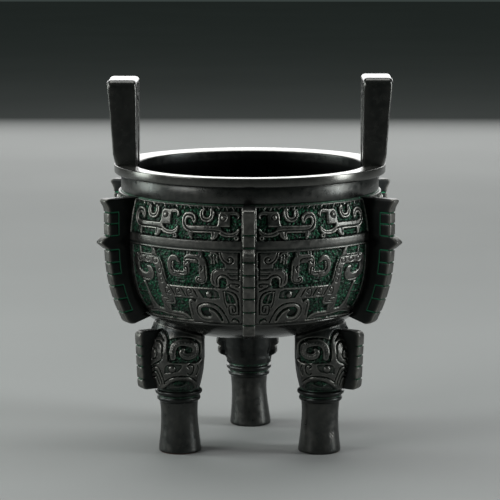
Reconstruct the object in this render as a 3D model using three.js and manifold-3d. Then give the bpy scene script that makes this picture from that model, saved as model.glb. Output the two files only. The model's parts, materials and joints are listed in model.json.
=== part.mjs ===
// A round bronze ding: an open bowl cast in one with two upright loop handles, six notched
// flanges and three mask-headed legs. Millimetres, +Z up. The origin is on the ground under the
// middle of the bowl, and the front, the flange between the two front legs, faces -Y.
import * as THREE from "three";
import { mergeVertices } from "three/addons/utils/BufferGeometryUtils.js";
import Module from "manifold-3d";

const wasm = await Module();
wasm.setup();

// --- Driving dimensions ---

const ROUND_SEGMENTS = 54;
const UP = Math.PI / 2;

const LIP = {
  radius: 85,
  innerRadius: 71,
  outerTop: 179.2, // the top slopes down towards the mouth
  innerTop: 178.5,
  bottom: 173.5,
  edge: 1,
};
const NECK = { radius: 80.8, bottom: 162.3 };
// The belly below its widest level is a superellipse; above it the wall draws in to the shoulder.
const BELLY = {
  radius: 86.5,
  widest: 136,
  depth: 64.7,
  power: 2.8,
  shoulderRadius: 82.8,
  shoulder: 161.2,
};
const CAVITY = { radius: 82, depth: 60, throatRadius: 71.4, throat: 172 };

const FLANGE = {
  count: 6,
  thickness: 7.2,
  top: 162.6,
  hookReach: 103.1,
  hookTip: 162.2,
  hookFoot: 154.4,
  radius: 101.2,
  depth: 95,
  power: 2.2,
  cuspTop: 139.6,
  cuspTip: 136.2,
  cuspBottom: 131.3,
  cuspReach: 105.9,
  endLevel: 88.1,
  endCurve: [[88.5, 85.7], [86.3, 84.5]],
  endCorner: [84, 84.2],
  endRoot: [70, 87.6],
  rootDepth: 3, // how far the flange's root is buried in the wall
  notches: [147.4, 123.5, 116.2, 108.9, 100.4, 91.9],
  notchWidth: 0.9,
  notchDepth: 1,
};

const HANDLE = {
  innerFace: 70,
  baseThickness: 14.4,
  topThickness: 18.6,
  width: 40,
  postWidth: 12.5,
  barHeight: 11.5,
  topOfLeft: 232,
  topOfRight: 233.6,
  cornerRadius: 4.5,
  archRadius: 4,
  rootDepth: 3,
  baseTrim: 84.8, // the base is trimmed round to the lip, by a cone that widens upwards
};

const LEG = {
  count: 3,
  axisRadius: 50.6,
  footRadius: 13.4,
  waistRadius: 11.4,
  waistLevel: 25,
  columnTop: 31.5,
  columnTopRadius: 12,
  rings: [
    { level: 34.2, radius: 13.6, half: 1.9 },
    { level: 38.3, radius: 14.3, half: 2 },
  ],
  maskBottom: 40.8,
  maskBottomRadius: 13.8,
  maskTop: 86,
};
// The mask's half widths at rising levels: to each side, outwards and towards the vessel's axis.
const MASK_SECTIONS = [
  { level: 42, side: 14.8, out: 17.4, inner: 13.4 },
  { level: 46, side: 16.8, out: 18.6, inner: 13.8 },
  { level: 50.5, side: 19.8, out: 19.6, inner: 14 },
  { level: 57, side: 21.4, out: 20.6, inner: 14.2 },
  { level: 66, side: 21.8, out: 21.2, inner: 14.4 },
  { level: 75, side: 22, out: 21, inner: 14.8 },
  { level: 80, side: 22, out: 19, inner: 15.4 },
  { level: 86, side: 22, out: 16.4, inner: 16 },
];
const LEG_FLANGE = {
  thickness: 7,
  bottom: 42.8,
  top: 78.8,
  outerBottom: 78.6,
  outerTop: 80.4,
  corner: 2.6,
  notches: [48.8, 56.8, 63.5, 69.7],
};

// --- Solids ---

function solidOf(geometry) {
  const bare = geometry.clone();
  bare.deleteAttribute("normal");
  bare.deleteAttribute("uv");
  const merged = mergeVertices(bare, 1e-4);
  return new wasm.Manifold(
    new wasm.Mesh({
      numProp: 3,
      vertProperties: new Float32Array(merged.attributes.position.array),
      triVerts: new Uint32Array(merged.index.array),
    }),
  );
}

function geometryOf(solid) {
  const mesh = solid.getMesh();
  return new THREE.BufferGeometry()
    .setAttribute("position", new THREE.BufferAttribute(mesh.vertProperties, 3))
    .setIndex(new THREE.BufferAttribute(mesh.triVerts, 1));
}

function turned(profile, segments = ROUND_SEGMENTS) {
  const points = profile.map(([radius, level]) => new THREE.Vector2(radius, level));
  return new THREE.LatheGeometry(points, segments).rotateX(UP);
}

function placeAt(geometry, radius, angle) {
  return geometry.translate(radius, 0, 0).rotateZ(angle);
}

// An outline in the plane of a radius, x outwards and y up, given thickness across that plane.
function radialPlate(outline, thickness) {
  const shape = new THREE.Shape(outline.map(([x, y]) => new THREE.Vector2(x, y)));
  return new THREE.ExtrudeGeometry(shape, { depth: thickness, bevelEnabled: false })
    .translate(0, 0, -thickness / 2)
    .rotateX(UP);
}

function steps(count, make) {
  return Array.from({ length: count + 1 }, (_, i) => make(i / count));
}

// --- Bowl ---

function superellipseRadius(level, { radius, depth, power }) {
  const drop = Math.max(0, (BELLY.widest - level) / depth);
  return radius * Math.pow(Math.max(0, 1 - Math.pow(drop, power)), 1 / power);
}

// Points of a superellipse's lower quarter, from the axis up to its widest level.
function superellipseQuarter({ radius, depth, power }, count) {
  return steps(count, (t) => {
    const angle = (t * Math.PI) / 2;
    return [
      radius * Math.pow(Math.sin(angle), 2 / power),
      BELLY.widest - depth * Math.pow(Math.cos(angle), 2 / power),
    ];
  });
}

function shoulderRadius(level) {
  const rise = (level - BELLY.widest) / (BELLY.shoulder - BELLY.widest);
  return BELLY.radius - (BELLY.radius - BELLY.shoulderRadius) * rise * rise;
}

function wallRadius(level) {
  return level < BELLY.widest ? superellipseRadius(level, BELLY) : shoulderRadius(level);
}

function bowlOutside() {
  const shoulder = steps(3, (t) => BELLY.widest + t * (BELLY.shoulder - BELLY.widest))
    .slice(1)
    .map((level) => [shoulderRadius(level), level]);
  return turned([
    ...superellipseQuarter(BELLY, 11),
    ...shoulder,
    [NECK.radius, NECK.bottom],
    [NECK.radius, LIP.bottom],
    [LIP.radius - LIP.edge, LIP.bottom],
    [LIP.radius, LIP.bottom + LIP.edge],
    [LIP.radius, LIP.outerTop - LIP.edge],
    [LIP.radius - LIP.edge, LIP.outerTop],
    [LIP.innerRadius + LIP.edge, LIP.innerTop],
    [0, LIP.innerTop],
  ]);
}

function cavity() {
  const belly = superellipseQuarter({ ...BELLY, ...CAVITY }, 8);
  const flare = steps(3, (t) => {
    const ease = t * t * (3 - 2 * t);
    const level = BELLY.widest + t * (CAVITY.throat - BELLY.widest);
    return [CAVITY.radius + ease * (CAVITY.throatRadius - CAVITY.radius), level];
  }).slice(1);
  return turned([
    ...belly,
    ...flare,
    [LIP.innerRadius, LIP.innerTop - LIP.edge],
    [LIP.innerRadius + LIP.edge, LIP.innerTop],
    [LIP.innerRadius + LIP.edge, LIP.innerTop + LIP.edge],
    [0, LIP.innerTop + LIP.edge],
  ]);
}

// --- Flanges on the bowl ---

function notchPoints(level, radius) {
  const half = FLANGE.notchWidth / 2;
  const floor = radius - FLANGE.notchDepth;
  return [
    [radius, level + half],
    [floor, level + half],
    [floor, level - half],
    [radius, level - half],
  ];
}

function flangeOutline() {
  const edge = (level) => superellipseRadius(level, FLANGE);
  const hook = [
    [FLANGE.hookReach - 0.6, FLANGE.top],
    [FLANGE.hookReach, FLANGE.hookTip - 0.8],
    [FLANGE.hookReach - 1, FLANGE.hookTip - 4],
    [FLANGE.radius + 0.1, FLANGE.hookFoot + 1.2],
    ...notchPoints(FLANGE.hookFoot, FLANGE.radius),
  ];
  const cusp = [
    ...notchPoints(FLANGE.cuspTop + 0.4, FLANGE.radius),
    [FLANGE.radius + 2.6, FLANGE.cuspTip + 2.2],
    [FLANGE.cuspReach, FLANGE.cuspTip],
    [FLANGE.radius + 2.9, FLANGE.cuspTip - 2.6],
    ...notchPoints(FLANGE.cuspBottom, FLANGE.radius),
  ];
  const [upperNotch, ...lowerNotches] = FLANGE.notches;
  const between = (low) => [edge(low), low];
  const lower = lowerNotches.flatMap((level) => [
    between(level + 3.6),
    ...notchPoints(level, edge(level)),
  ]);
  const end = [[edge(FLANGE.endLevel), FLANGE.endLevel], ...FLANGE.endCurve, FLANGE.endCorner, FLANGE.endRoot];
  const buried = steps(6, (t) => FLANGE.endRoot[1] + t * (FLANGE.top - FLANGE.endRoot[1]))
    .slice(1)
    .map((level) => [Math.min(wallRadius(level), NECK.radius + 1.8) - FLANGE.rootDepth, level]);
  return [
    ...hook,
    ...notchPoints(upperNotch, FLANGE.radius),
    ...cusp,
    ...lower,
    ...end,
    ...buried,
  ];
}

// --- Handles ---

// An upside-down U in the plane across the radius, x along the rim and y up.
function handleOutline(top) {
  const half = HANDLE.width / 2;
  const gap = half - HANDLE.postWidth;
  const base = LIP.innerTop - HANDLE.rootDepth;
  const arch = top - HANDLE.barHeight;
  const { cornerRadius: r, archRadius: a } = HANDLE;
  const shape = new THREE.Shape();
  shape.moveTo(half, base);
  shape.lineTo(half, top - r);
  shape.absarc(half - r, top - r, r, 0, Math.PI / 2, false);
  shape.lineTo(-half + r, top);
  shape.absarc(-half + r, top - r, r, Math.PI / 2, Math.PI, false);
  shape.lineTo(-half, base);
  shape.lineTo(-gap, base);
  shape.lineTo(-gap, arch - a);
  shape.absarc(-gap + a, arch - a, a, Math.PI, Math.PI / 2, true);
  shape.lineTo(gap - a, arch);
  shape.absarc(gap - a, arch - a, a, Math.PI / 2, 0, true);
  shape.lineTo(gap, base);
  return shape;
}

function handle(top, angle) {
  const depth = 1;
  const slab = new THREE.ExtrudeGeometry(handleOutline(top), {
    depth,
    bevelEnabled: false,
    curveSegments: 4,
  });
  // Stand the slab up, then push its outer face out to the handle's thickness at each level.
  slab.rotateX(UP).rotateZ(UP);
  const position = slab.attributes.position;
  for (let i = 0; i < position.count; i++) {
    const rise = (position.getZ(i) - LIP.outerTop) / (top - LIP.outerTop);
    const thickness =
      HANDLE.baseThickness + Math.max(0, rise) * (HANDLE.topThickness - HANDLE.baseThickness);
    position.setX(i, HANDLE.innerFace + (position.getX(i) > depth / 2 ? thickness : 0));
  }
  const trimCone = turned([
    [0, LIP.bottom],
    [HANDLE.baseTrim, LIP.bottom],
    [HANDLE.baseTrim, LIP.outerTop],
    [HANDLE.baseTrim + 8, LIP.outerTop + 24],
    [HANDLE.baseTrim + 8, top + 1],
    [0, top + 1],
  ]);
  return solidOf(slab.rotateZ(angle)).intersect(solidOf(trimCone));
}

// --- Legs ---

function columnRadius(level) {
  const { waistLevel, waistRadius, footRadius, columnTop, columnTopRadius } = LEG;
  const below = level < waistLevel;
  const reach = below ? (waistLevel - level) / waistLevel : (level - waistLevel) / (columnTop - waistLevel);
  const flare = below ? footRadius - waistRadius : columnTopRadius - waistRadius;
  return waistRadius + flare * reach * reach;
}

function ringPoints({ level, radius, half }) {
  const groove = radius - 1.1;
  return [
    [groove, level - half],
    [radius, level - half * 0.45],
    [radius, level + half * 0.45],
    [groove, level + half],
  ];
}

function legProfile() {
  return [
    [0, 0],
    [LEG.footRadius - 0.5, 0],
    [LEG.footRadius, 0.6],
    ...steps(5, (t) => 3 + t * (LEG.columnTop - 3)).map((level) => [columnRadius(level), level]),
    ...LEG.rings.flatMap(ringPoints),
    [LEG.maskBottomRadius, LEG.maskBottom],
    ...MASK_SECTIONS.map(({ level, side }) => [side, level]),
    [0, LEG.maskTop],
  ];
}

// The turned leg is drawn out to the mask's sections: deeper outwards, flatter towards the axis.
function leg(angle) {
  const body = turned(legProfile(), 24);
  const position = body.attributes.position;
  for (let i = 0; i < position.count; i++) {
    const section = MASK_SECTIONS.find(({ level }) => Math.abs(level - position.getZ(i)) < 1e-3);
    if (!section) continue;
    const reach = position.getX(i) > 0 ? section.out : section.inner;
    position.setX(i, (position.getX(i) * reach) / section.side);
  }
  return solidOf(placeAt(body, LEG.axisRadius, angle));
}

function legFlangeOutline() {
  const { bottom, top, outerBottom, outerTop, corner, notches } = LEG_FLANGE;
  const edge = (level) => outerBottom + ((level - bottom) / (top - bottom)) * (outerTop - outerBottom);
  return [
    [LEG.axisRadius, bottom],
    [outerBottom - corner, bottom],
    [outerBottom - corner * 0.3, bottom + corner * 0.3],
    [edge(bottom + corner), bottom + corner],
    ...notches.flatMap((level) => notchPoints(level, edge(level)).reverse()),
    [edge(top - corner), top - corner],
    [outerTop - corner * 0.3, top - corner * 0.3],
    [outerTop - corner, top],
    [LEG.axisRadius, top],
  ];
}

// --- The casting ---

function evenAngles(count, first) {
  return Array.from({ length: count }, (_, i) => first + (i * 2 * Math.PI) / count);
}

function dingVessel() {
  const front = -Math.PI / 2;
  const flanges = evenAngles(FLANGE.count, front).map((angle) =>
    solidOf(placeAt(radialPlate(flangeOutline(), FLANGE.thickness), 0, angle)),
  );
  const legs = evenAngles(LEG.count, front + Math.PI / 3).flatMap((angle) => [
    leg(angle),
    solidOf(placeAt(radialPlate(legFlangeOutline(), LEG_FLANGE.thickness), 0, angle)),
  ]);
  const bowl = [...flanges, ...legs]
    .reduce((whole, piece) => whole.add(piece), solidOf(bowlOutside()))
    .subtract(solidOf(cavity()));
  return bowl.add(handle(HANDLE.topOfRight, 0)).add(handle(HANDLE.topOfLeft, Math.PI));
}

const bronze = new THREE.MeshStandardMaterial({
  name: "patinated_bronze",
  color: new THREE.Color(0.045, 0.05, 0.045),
  roughness: 0.42,
  metalness: 0.85,
});

const vessel = new THREE.Mesh(geometryOf(dingVessel()), bronze);
vessel.name = "ding_vessel";

const ding = new THREE.Group();
ding.add(vessel);

export default ding;
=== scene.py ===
import json
import math

import bpy
import numpy as np
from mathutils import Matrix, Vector


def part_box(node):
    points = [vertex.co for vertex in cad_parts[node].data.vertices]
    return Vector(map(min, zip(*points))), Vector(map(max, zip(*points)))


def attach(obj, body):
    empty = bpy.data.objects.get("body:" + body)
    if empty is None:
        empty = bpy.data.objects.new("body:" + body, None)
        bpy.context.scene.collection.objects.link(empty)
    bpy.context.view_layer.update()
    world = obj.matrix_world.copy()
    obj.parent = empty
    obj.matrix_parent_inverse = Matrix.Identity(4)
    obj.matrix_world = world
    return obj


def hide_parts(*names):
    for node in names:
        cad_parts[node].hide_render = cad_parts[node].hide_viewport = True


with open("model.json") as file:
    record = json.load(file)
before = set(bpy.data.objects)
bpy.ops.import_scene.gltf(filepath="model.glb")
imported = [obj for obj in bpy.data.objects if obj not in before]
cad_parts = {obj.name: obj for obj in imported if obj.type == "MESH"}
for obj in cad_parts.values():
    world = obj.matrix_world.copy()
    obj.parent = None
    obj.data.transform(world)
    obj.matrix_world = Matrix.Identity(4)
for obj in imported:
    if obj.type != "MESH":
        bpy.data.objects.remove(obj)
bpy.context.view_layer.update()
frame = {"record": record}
VESSEL_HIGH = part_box("ding_vessel")[1]
FEET = {mount["name"]: mount["pos_m"] for mount in frame["record"]["mounts"]}

MM = 0.001

# The bowl's wall: a superellipse below its widest level, drawn in to the shoulder above it.
BELLY_RADIUS = 86.5
WIDEST = 136.0
BELLY_DEPTH = 64.7
BELLY_POWER = 2.8
SHOULDER_RADIUS = 82.8
SHOULDER = 161.2
NECK_RADIUS = 80.8
NECK_BOTTOM = 162.3
LIP_RADIUS = 85.0
LIP_BOTTOM = 173.5
LIP_OUTER_TOP = 179.2
LIP_INNER_TOP = 178.5
MOUTH_RADIUS = 71.4
MOUTH_BOTTOM = 172.0  # where the mouth starts to widen into the bowl's inside
CAVITY_RADIUS = 82.0
CAVITY_DEPTH = 60.0

FRIEZE_LOW = 88.9
FRIEZE_SPLIT = 136.4
BAND_TOP = 141.8
BAND_EDGE = 141.2  # where the plain band's coarse rows end, clear of its cut edge
PLAIN_BORDERS = ((134.6, 137, 0.5), (141.2, 142.4, 0.25))  # lowest and highest level, share of wear left
TILE_SPACING = 0.36
TILE_INSET = 2.9  # from the middle of a flange to the edge of a sixth of the friezes
TILE_BACK = 2.2  # from the raised faces in to the back of that sixth
SECTOR = math.radians(60)

DEEP = -1.5  # how far the deepest ground of a frieze lies under its raised faces
GROUND = -1.05


# --- Small helpers ---


def smoothstep(value):
    value = np.clip(value, 0, 1)
    return value * value * (3 - 2 * value)


def bell(away, width):
    return np.exp(-((away / width) ** 2))


def superellipse(share, power):
    """The height, as a share, at a share of the way out from the middle."""
    return (1 - share**power) ** (1 / power)


def wall_radius(level):
    level = np.asarray(level, float)
    rise = (level - WIDEST) / (SHOULDER - WIDEST)
    above = BELLY_RADIUS - (BELLY_RADIUS - SHOULDER_RADIUS) * rise**2
    drop = np.clip((WIDEST - level) / BELLY_DEPTH, 0, 1)
    return np.where(level >= WIDEST, above, BELLY_RADIUS * superellipse(drop, BELLY_POWER))


def wall_level(radius):
    """The level of the bowl's underside at a distance from the axis."""
    share = np.clip(np.asarray(radius, float) / BELLY_RADIUS, 0, 1)
    return WIDEST - BELLY_DEPTH * superellipse(share, BELLY_POWER)


def wall_normal(level):
    """The outward and upward parts of the wall's normal."""
    step = 0.01
    run = wall_radius(level + step) - wall_radius(level - step)
    length = np.hypot(run, 2 * step)
    return 2 * step / length, -run / length


def smooth_path(points, steps=7):
    """Points along a smooth curve through all of the given points, of any number of columns."""
    points = np.array(points, float)
    ends = np.vstack([2 * points[0] - points[1], points, 2 * points[-1] - points[-2]])
    share = np.linspace(0, 1, steps, endpoint=False)[:, None]
    parts = []
    for a, b, c, d in zip(ends, ends[1:], ends[2:], ends[3:]):
        curve = (
            2 * b
            + (c - a) * share
            + (2 * a - 5 * b + 4 * c - d) * share**2
            + (3 * b - a - 3 * c + d) * share**3
        )
        parts.append(curve / 2)
    return np.vstack([*parts, points[-1:]])


def to_segment(x, y, start, end):
    """The distance to a segment, and the share of the way along it where it is nearest."""
    dx, dy = end[0] - start[0], end[1] - start[1]
    share = ((x - start[0]) * dx + (y - start[1]) * dy) / max(dx * dx + dy * dy, 1e-9)
    share = np.clip(share, 0, 1)
    return np.hypot(x - start[0] - share * dx, y - start[1] - share * dy), share


def blurred(field, cells):
    """The field smoothed by a bell curve of that width."""
    pad = int(4 * cells) + 1
    wide = np.pad(field, pad, mode="edge")
    down = np.fft.fftfreq(wide.shape[0])[:, None]
    along = np.fft.rfftfreq(wide.shape[1])[None, :]
    curve = np.exp(-2 * (math.pi * cells) ** 2 * (down**2 + along**2))
    smooth = np.fft.irfft2(np.fft.rfft2(wide) * curve, wide.shape)
    return smooth[pad:-pad, pad:-pad]


def grains(shape, cells, seed):
    """Smooth random grains about that many cells wide, spread evenly about 0 with a spread of 1."""
    noise = blurred(np.random.default_rng(seed).standard_normal(shape), cells)
    return noise / noise.std()


# --- Relief drawn on a flat patch, then laid on the casting ---


class Relief:
    """Height over the raised faces, and green patina, on a fine grid of across and up."""

    CELL = 0.16
    MARGIN = 1.5  # how far round a shape its soft edge may reach

    def __init__(self, across, up):
        self.left, self.bottom = across[0], up[0]
        columns = int((across[1] - across[0]) / self.CELL) + 1
        rows = int((up[1] - up[0]) / self.CELL) + 1
        self.across = self.left + np.arange(columns) * self.CELL
        self.up = self.bottom + np.arange(rows) * self.CELL
        self.height = np.zeros((rows, columns))
        self.green = np.zeros((rows, columns))

    def window(self, points, margin):
        low = np.min(points, axis=0) - margin
        high = np.max(points, axis=0) + margin
        columns = slice(*np.searchsorted(self.across, (low[0], high[0])))
        rows = slice(*np.searchsorted(self.up, (low[1], high[1])))
        x, y = np.meshgrid(self.across[columns], self.up[rows])
        return (rows, columns), x, y

    def to_band(self, points, half, smooth=True):
        """The patch round a band of that half width, and the distance out from the band's edge."""
        along, stations = np.linspace(0, 1, len(points)), np.linspace(0, 1, np.size(half))
        halves = np.interp(along, stations, np.ravel(half))
        path = np.column_stack([np.array(points, float), halves])
        if smooth:
            path = smooth_path(path)
        patch, x, y = self.window(path[:, :2], path[:, 2].max() + self.MARGIN)
        nearest = np.full(x.shape, np.inf)
        for start, end in zip(path, path[1:]):
            away, share = to_segment(x, y, start, end)
            nearest = np.minimum(nearest, away - (start[2] + share * (end[2] - start[2])))
        return patch, nearest

    def to_area(self, points, smooth=True):
        """The patch round an area, and the distance out from its outline."""
        outline = np.array(points, float)
        if smooth:
            outline = smooth_path(np.vstack([outline, outline[:1]]))[:-1]
        patch, x, y = self.window(outline, self.MARGIN)
        nearest = np.full(x.shape, np.inf)
        inside = np.zeros(x.shape, bool)
        for start, end in zip(outline, np.roll(outline, -1, axis=0)):
            nearest = np.minimum(nearest, to_segment(x, y, start, end)[0])
            (x0, y0), (x1, y1) = start, end
            if y0 != y1:
                inside ^= ((y0 > y) != (y1 > y)) & (x < x0 + (y - y0) * (x1 - x0) / (y1 - y0))
        return patch, np.where(inside, -nearest, nearest)

    def set_level(self, patch, away, level, soft, green, raised):
        cover = smoothstep(0.5 - away / soft)
        here = self.height[patch]
        if raised:
            # A cast edge is a little rounded.
            face = level - 0.22 * np.exp(np.minimum(away, 0) / 0.4)
            self.height[patch] = np.maximum(here, here + (face - here) * cover)
            self.green[patch] *= 1 - cover
        else:
            self.height[patch] = np.minimum(here, here + (level - here) * cover)
        self.green[patch] = np.maximum(self.green[patch], green * cover)

    def raise_band(self, points, half, level=0.0, soft=0.45, smooth=True):
        self.set_level(*self.to_band(points, half, smooth), level, soft, 0, True)

    def raise_area(self, points, level=0.0, soft=0.45, smooth=True):
        self.set_level(*self.to_area(points, smooth), level, soft, 0, True)

    def cut_band(self, points, half, level=-0.7, soft=0.4, green=0.35, smooth=True):
        self.set_level(*self.to_band(points, half, smooth), level, soft, green, False)

    def cut_area(self, points, level=DEEP, soft=0.45, green=0.8, smooth=True):
        self.set_level(*self.to_area(points, smooth), level, soft, green, False)

    def raise_bands(self, *bands):
        """Several raised bands: the points, half width and level of each."""
        for points, half, level in bands:
            self.raise_band(points, half, level)

    def cut_bands(self, *bands):
        """Several cut bands: the points, half width, level and green of each."""
        for points, half, level, green in bands:
            self.cut_band(points, half, level, green=green)

    def dome(self, centre, radius, height):
        patch, x, y = self.window([centre], radius)
        away = np.hypot(x - centre[0], y - centre[1]) / radius
        self.height[patch] += height * np.sqrt(np.clip(1 - away**2, 0, 1))
        self.green[patch] *= np.where(away < 1, 0.2, 1)

    def finish(self, seed):
        """Cast grain and green on the sunken ground, then where the casting is worn, and painted shade in
        its corners and cuts.
        """
        sunk = smoothstep((-0.5 - self.height) / 0.4)
        self.height += 0.23 * sunk * grains(self.height.shape, 1.9, seed)
        self.height += 0.02 * grains(self.height.shape, 2.0, seed + 1)
        green = np.clip(np.maximum(self.green, 0.9 * sunk), 0, 1)
        self.height = blurred(self.height, 0.6)
        faces = smoothstep((self.height + 0.62) / 0.4)
        edges = smoothstep((self.height - blurred(self.height, 3.2)) / 0.42)
        self.worn = faces * (0.2 + 0.8 * edges)
        # Painted shade darkens the corners and the fine cuts, so the green shows on the open ground.
        corners = smoothstep((blurred(self.height, 4.6) - self.height - 0.13) / 0.28)
        cuts = smoothstep((blurred(self.height, 2.4) - self.height - 0.08) / 0.14)
        self.painted_shade_and_dark_tone = np.maximum(corners, 0.9 * cuts)
        patches = 0.75 + 0.3 * grains(self.height.shape, 3.5, seed + 2)
        green = np.clip(blurred(green, 1.0) * (1 - faces) * patches, 0, 1)
        self.green = green * (1 - 0.5 * self.painted_shade_and_dark_tone)

    def sample(self, field, across, up):
        column = np.clip((across - self.left) / self.CELL, 0, len(self.across) - 1.001)
        row = np.clip((up - self.bottom) / self.CELL, 0, len(self.up) - 1.001)
        i, j = row.astype(int), column.astype(int)
        a, b = row - i, column - j
        low = field[i, j] * (1 - b) + field[i, j + 1] * b
        high = field[i + 1, j] * (1 - b) + field[i + 1, j + 1] * b
        return low * (1 - a) + high * a


def dot(x, y):
    """A band so short that it draws a round dot."""
    return [(x, y), (x + 0.1, y)]


# The upper frieze: two dragons in profile to each sixth of the bowl, both facing its front flange.


def draw_dragon(relief, shift):
    def at(*points):
        return [(x + shift, y) for x, y in points]

    head = at((11.4, 150.2), (11.4, 159.2), (17.6, 159.2), (18.9, 157.6), (19.1, 152.2), (20, 150))
    relief.raise_area(head, smooth=False)
    body = at(
        (19, 148.6), (26, 148.5), (33, 148.3), (37.4, 148.4), (40.2, 149.5), (41.2, 152), (41, 154.8),
        (39.6, 156.3), (37, 156.4), (35.1, 155.3), (34.5, 153.6), (34.4, 152.5),
    )
    relief.raise_band(body, (2.2, 2.2, 2.2, 2.1, 1.7, 1.6, 1.7, 1.85, 1.85, 1.75, 1.4, 0.9))
    hind_foot = at((38.6, 147.6), (38.2, 145.4), (37, 143.2), (35.6, 142), (35, 142.2), (35, 147))
    relief.raise_area(hind_foot, smooth=False)
    fore_foot = at(
        (23.4, 147), (23.1, 144.6), (23.5, 142.8), (22.6, 142), (20.6, 142.7), (18.9, 144.4), (17.8, 148),
    )
    relief.raise_area(fore_foot, smooth=False)
    upper_jaw = at((11.6, 158.2), (9, 158.5), (7, 157.9), (6.1, 156.6), (6.9, 155.1))
    lower_jaw = at((18.2, 148), (16, 146.2), (13, 145.5), (9.6, 145.6), (7.2, 146.8), (6, 149.2))
    relief.raise_bands(
        (upper_jaw, (1.1, 1.1, 1.05, 0.9, 0.35), 0),
        (lower_jaw, (1.5, 1.5, 1.35, 1.35, 1.2, 0.5), 0),
        (dot(7.4 + shift, 143.7), 1.65, 0),
    )
    relief.cut_band(dot(7.5 + shift, 143.6), 0.55, green=0.3)
    ear = at(
        (29.7, 159.2), (29.8, 156.9), (28.7, 154.9), (26.4, 154.1), (24.1, 154.7), (23, 156.7),
        (23.1, 158.9), (24, 160.1),
    )
    relief.raise_band(ear, (1.2, 1.45, 1.5, 1.5, 1.5, 1.45, 1.3, 0.8))
    # Fine lines cut along the middle of the body, the ear, the jaws and the feet.
    spine = at((17.6, 147.2), (21, 147.7), (27, 147.7), (33, 147.5), (37.2, 147.8), (39.6, 149.2))
    spine += body[5:-1]
    relief.cut_bands(
        (spine, 0.36, -0.75, 0),
        (ear[:-1], 0.36, -0.7, 0),
        (at((16.8, 147), (13, 145.5), (9.6, 145.6), (7.3, 146.8), (6.5, 148)), 0.3, -0.5, 0.1),
        (at((10.8, 158), (8.6, 158.2), (7.2, 157.2)), 0.25, -0.4, 0.1),
        (at((37.6, 147), (37.2, 145.2), (36.4, 143.8)), 0.2, -0.4, 0.1),
        (at((21.6, 147.2), (21.7, 145.2), (22.3, 143.6)), 0.26, -0.55, 0.1),
        (dot(15.7 + shift, 155.6), 2.1, -0.4, 0),
    )
    relief.dome((15.7 + shift, 155.6), 1.6, 1.1)


def draw_upper_frieze(relief):
    field = [(3.8, BAND_TOP), (3.8, 162.2), (87, 162.2), (87, BAND_TOP)]
    relief.cut_area(field, DEEP, 0.4, 1.0, smooth=False)
    # Broken casting along the top edge.
    relief.raise_band([(3, 161.9), (88, 161.9)], 0.45, -0.2, smooth=False)
    for x in np.arange(4.6, 86, 1.9):
        sway = math.sin(5.3 * x)
        drop = 0.8 + 0.9 * math.cos(3.1 * x) ** 2
        relief.raise_band([(x, 161.4), (x + 1.1 * sway, 161.6 - drop)], 0.38, -0.35 - 0.3 * sway)
    for x in (3.9, 86.8):
        relief.raise_band([(x, 141), (x, 162)], 0.7, -0.1, smooth=False)
    for shift in (0, 39.6):
        draw_dragon(relief, shift)
    # Low grain filling between the feet.
    for x in (26.3, 65.9):
        relief.raise_band([(x, 143.3), (x + 8, 143.4)], 0.6, -0.75)


# The lower frieze: half a monster mask to each sixth, its nose along the front flange.


def draw_nose_panel(relief):
    """The square panel and bands beside the flange, with the hook that ends them."""
    panel = [
        (6.4, 125), (6.4, 134.6), (18.4, 134.9), (17.9, 132), (16.4, 129.4), (14.6, 127.9), (14.4, 125.6),
    ]
    relief.raise_area(panel, smooth=False)
    spiral = [
        (17.1, 134.9), (16.5, 132.2), (14.8, 129.8), (12.2, 128.3), (10.1, 128.7), (9.4, 130.2),
        (10, 131.6), (11.6, 132), (12.6, 131), (12, 130),
    ]
    relief.cut_band(spiral, 0.34, -0.7, green=0.15)
    hook = [(5.4, 123), (12, 123), (16.5, 122.9), (20, 122), (21.5, 119.4), (21.3, 116.6), (19.6, 114.8)]
    relief.raise_band(hook, (2.3, 2.3, 2.4, 2.5, 2.2, 2.1, 1.5))
    relief.raise_area([(4, 112.6), (4, 121), (11.6, 121.2), (14, 120.4), (14, 112.6)], smooth=False)
    ring = [(12.4, 115), (12.6, 118), (14.2, 119.9), (16.6, 120.2), (18.5, 118.8), (18.9, 116.2)]
    relief.raise_band(ring, 0.7, 0.05)
    relief.cut_area(
        [
            (13.5, 116.3), (14.2, 118.6), (16.2, 119.3), (17.9, 118), (18.2, 115.6), (16.8, 113.9),
            (14.6, 114),
        ],
    )
    outer_line = [(15.5, 124.6), (19.6, 124.3), (21.9, 122.3), (22.2, 118.8), (21.3, 115.9)]
    inner_line = [
        (5, 118.5), (10.8, 118.6), (12.3, 119.8), (14.4, 121.1), (17, 121.2), (19, 119.8), (19.8, 117.4),
        (19.4, 115.3),
    ]
    relief.cut_bands(
        ([(12.8, 114.6), (14.4, 113.4), (17.5, 113.3)], 0.5, -0.7, 0.35),
        (outer_line, 0.3, -0.6, 0.15),
        (inner_line, 0.36, -0.75, 0.2),
        ([(5.4, 124.7), (14.4, 124.7)], 0.3, -0.6, 0.2),
        ([(5.4, 122.3), (12.6, 122.4)], 0.36, -0.5, 0.6),
        ([(5.4, 121.3), (11.6, 121.3)], 0.3, -0.7, 0.3),
    )
    relief.cut_band([(6, 134.9), (6, 118.5)], 0.36, -0.8, green=0.3, smooth=False)


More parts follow.
